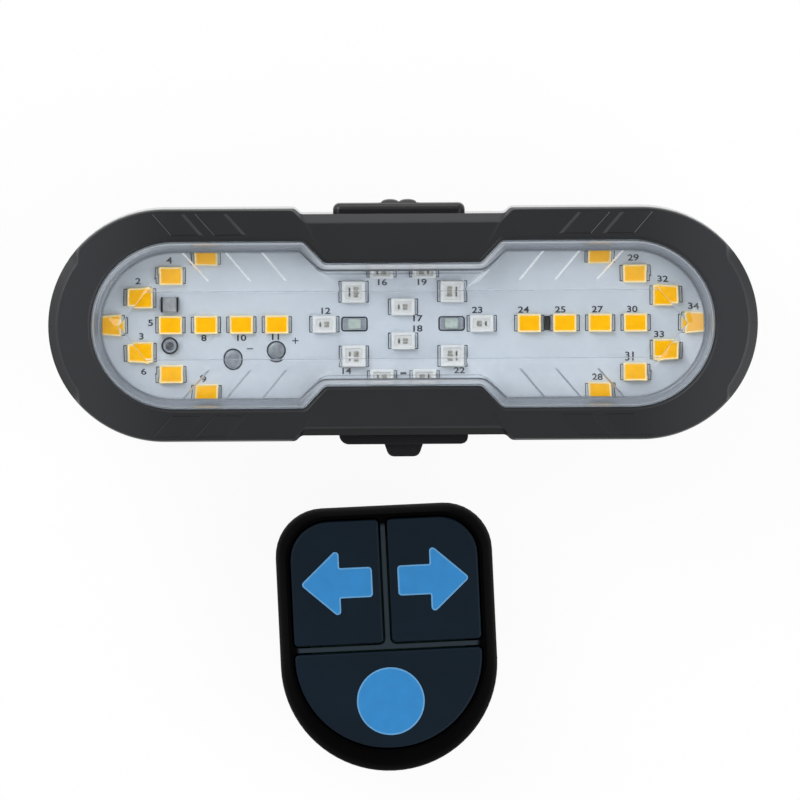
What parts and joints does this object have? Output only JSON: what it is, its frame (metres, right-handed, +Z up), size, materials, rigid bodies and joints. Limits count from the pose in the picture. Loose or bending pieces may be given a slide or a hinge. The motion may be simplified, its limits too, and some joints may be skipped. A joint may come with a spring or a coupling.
{
  "type": "bicycle turn signal light",
  "caption": "Capsule-shaped wireless bicycle rear light with amber turn arrows and brake lamps behind a clear lens, on a seatpost saddle, with a shield-shaped handlebar remote.",
  "frame": {"origin": "middle of the set's footprint, on the surface that it lies on", "axes": "+X along the light to its right end, +Y to the light's upper edge, +Z up out of the lens"},
  "size_m": [0.1, 0.0812, 0.0292],
  "materials": {
    "charcoal_plastic": "fine matt texture",
    "black_plastic": "matt",
    "clear_plastic": "clear, polished",
    "black_rubber": "matt",
    "key_rubber": "satin silicone",
    "white_board": "satin solder mask",
    "amber_lamp": "glossy resin",
    "white_lamp": "glossy resin",
    "status_lamp": "glossy resin",
    "black_chip": "moulded, matt",
    "solder": "satin",
    "ferrite": "ground, matt",
    "steel": "plain",
    "green_board": "satin solder mask",
    "copper_wire": "bare wire",
    "foil": "satin foil",
    "foam_tape": "foam",
    "red_wire": "satin",
    "ivory_plastic": "matt",
    "spring_brass": "plain",
    "blue_symbol": "satin"
  },
  "bodies": {
    "light": {"rear_case": "black_plastic", "case_seal": "black_rubber", "front_bezel": "charcoal_plastic", "clear_lens": "clear_plastic", "lens_seal": "black_rubber", "lamp_board": "white_board", "left_turn_lamps": "amber_lamp", "right_turn_lamps": "amber_lamp", "brake_lamps": "white_lamp", "charge_lamps": "status_lamp", "chip_resistors": "black_chip", "solder_joints": "solder", "board_screw": "steel", "chip_inductor": "ferrite", "control_chip": "black_chip", "receiver_module": "green_board", "receiver_antenna": "copper_wire", "charge_port_shell": "steel", "charge_port_tongue": "black_plastic", "power_switch": "black_plastic", "battery_cell": "foil", "battery_tape": "foam_tape", "positive_lead": "red_wire", "negative_lead": "black_rubber", "button_surround": "black_rubber", "case_screws": "steel", "seatpost_saddle": "black_plastic", "seatpost_liner": "black_rubber"},
    "power_button": {"power_button": "black_rubber", "switch_plunger": "ivory_plastic"},
    "port_cover": {"port_cover": "black_rubber"},
    "remote": {"remote_case": "black_plastic", "remote_seal": "black_rubber", "remote_cover": "black_plastic", "remote_board": "green_board", "remote_switches": "black_chip", "remote_chip": "black_chip", "coin_cell": "steel", "upper_cell_contact": "spring_brass", "lower_cell_contact": "spring_brass", "remote_screws": "steel", "handlebar_saddle": "black_plastic", "handlebar_liner": "black_rubber"},
    "left_key": {"left_key": "key_rubber", "left_arrow": "blue_symbol", "left_plunger": "ivory_plastic"},
    "right_key": {"right_key": "key_rubber", "right_arrow": "blue_symbol", "right_plunger": "ivory_plastic"},
    "mode_key": {"mode_key": "key_rubber", "mode_dot": "blue_symbol", "mode_plunger": "ivory_plastic"}
  },
  "joints": [
    {"name": "power_button_press", "type": "slide", "parent": "light", "child": "power_button", "axis": [0, -1, 0], "range_m": [0, 0.0005], "stiffness_N_per_m": 2000, "springref_m": -0.0005},
    {"name": "port_cover_swing", "type": "hinge", "parent": "light", "child": "port_cover", "pos_m": [-0.0077, 0.00747, 0.0202], "axis": [0, 0, -1], "range_deg": [0, 100]},
    {"name": "remote_lift", "type": "slide", "parent": "light", "child": "remote", "axis": [0, 0, 1], "range_m": [0, 0.04]},
    {"name": "left_key_press", "type": "slide", "parent": "remote", "child": "left_key", "axis": [0, 0, -1], "range_m": [0, 0.0004], "stiffness_N_per_m": 2500, "springref_m": -0.0004},
    {"name": "right_key_press", "type": "slide", "parent": "remote", "child": "right_key", "axis": [0, 0, -1], "range_m": [0, 0.0004], "stiffness_N_per_m": 2500, "springref_m": -0.0004},
    {"name": "mode_key_press", "type": "slide", "parent": "remote", "child": "mode_key", "axis": [0, 0, -1], "range_m": [0, 0.0004], "stiffness_N_per_m": 2500, "springref_m": -0.0004}
  ]
}
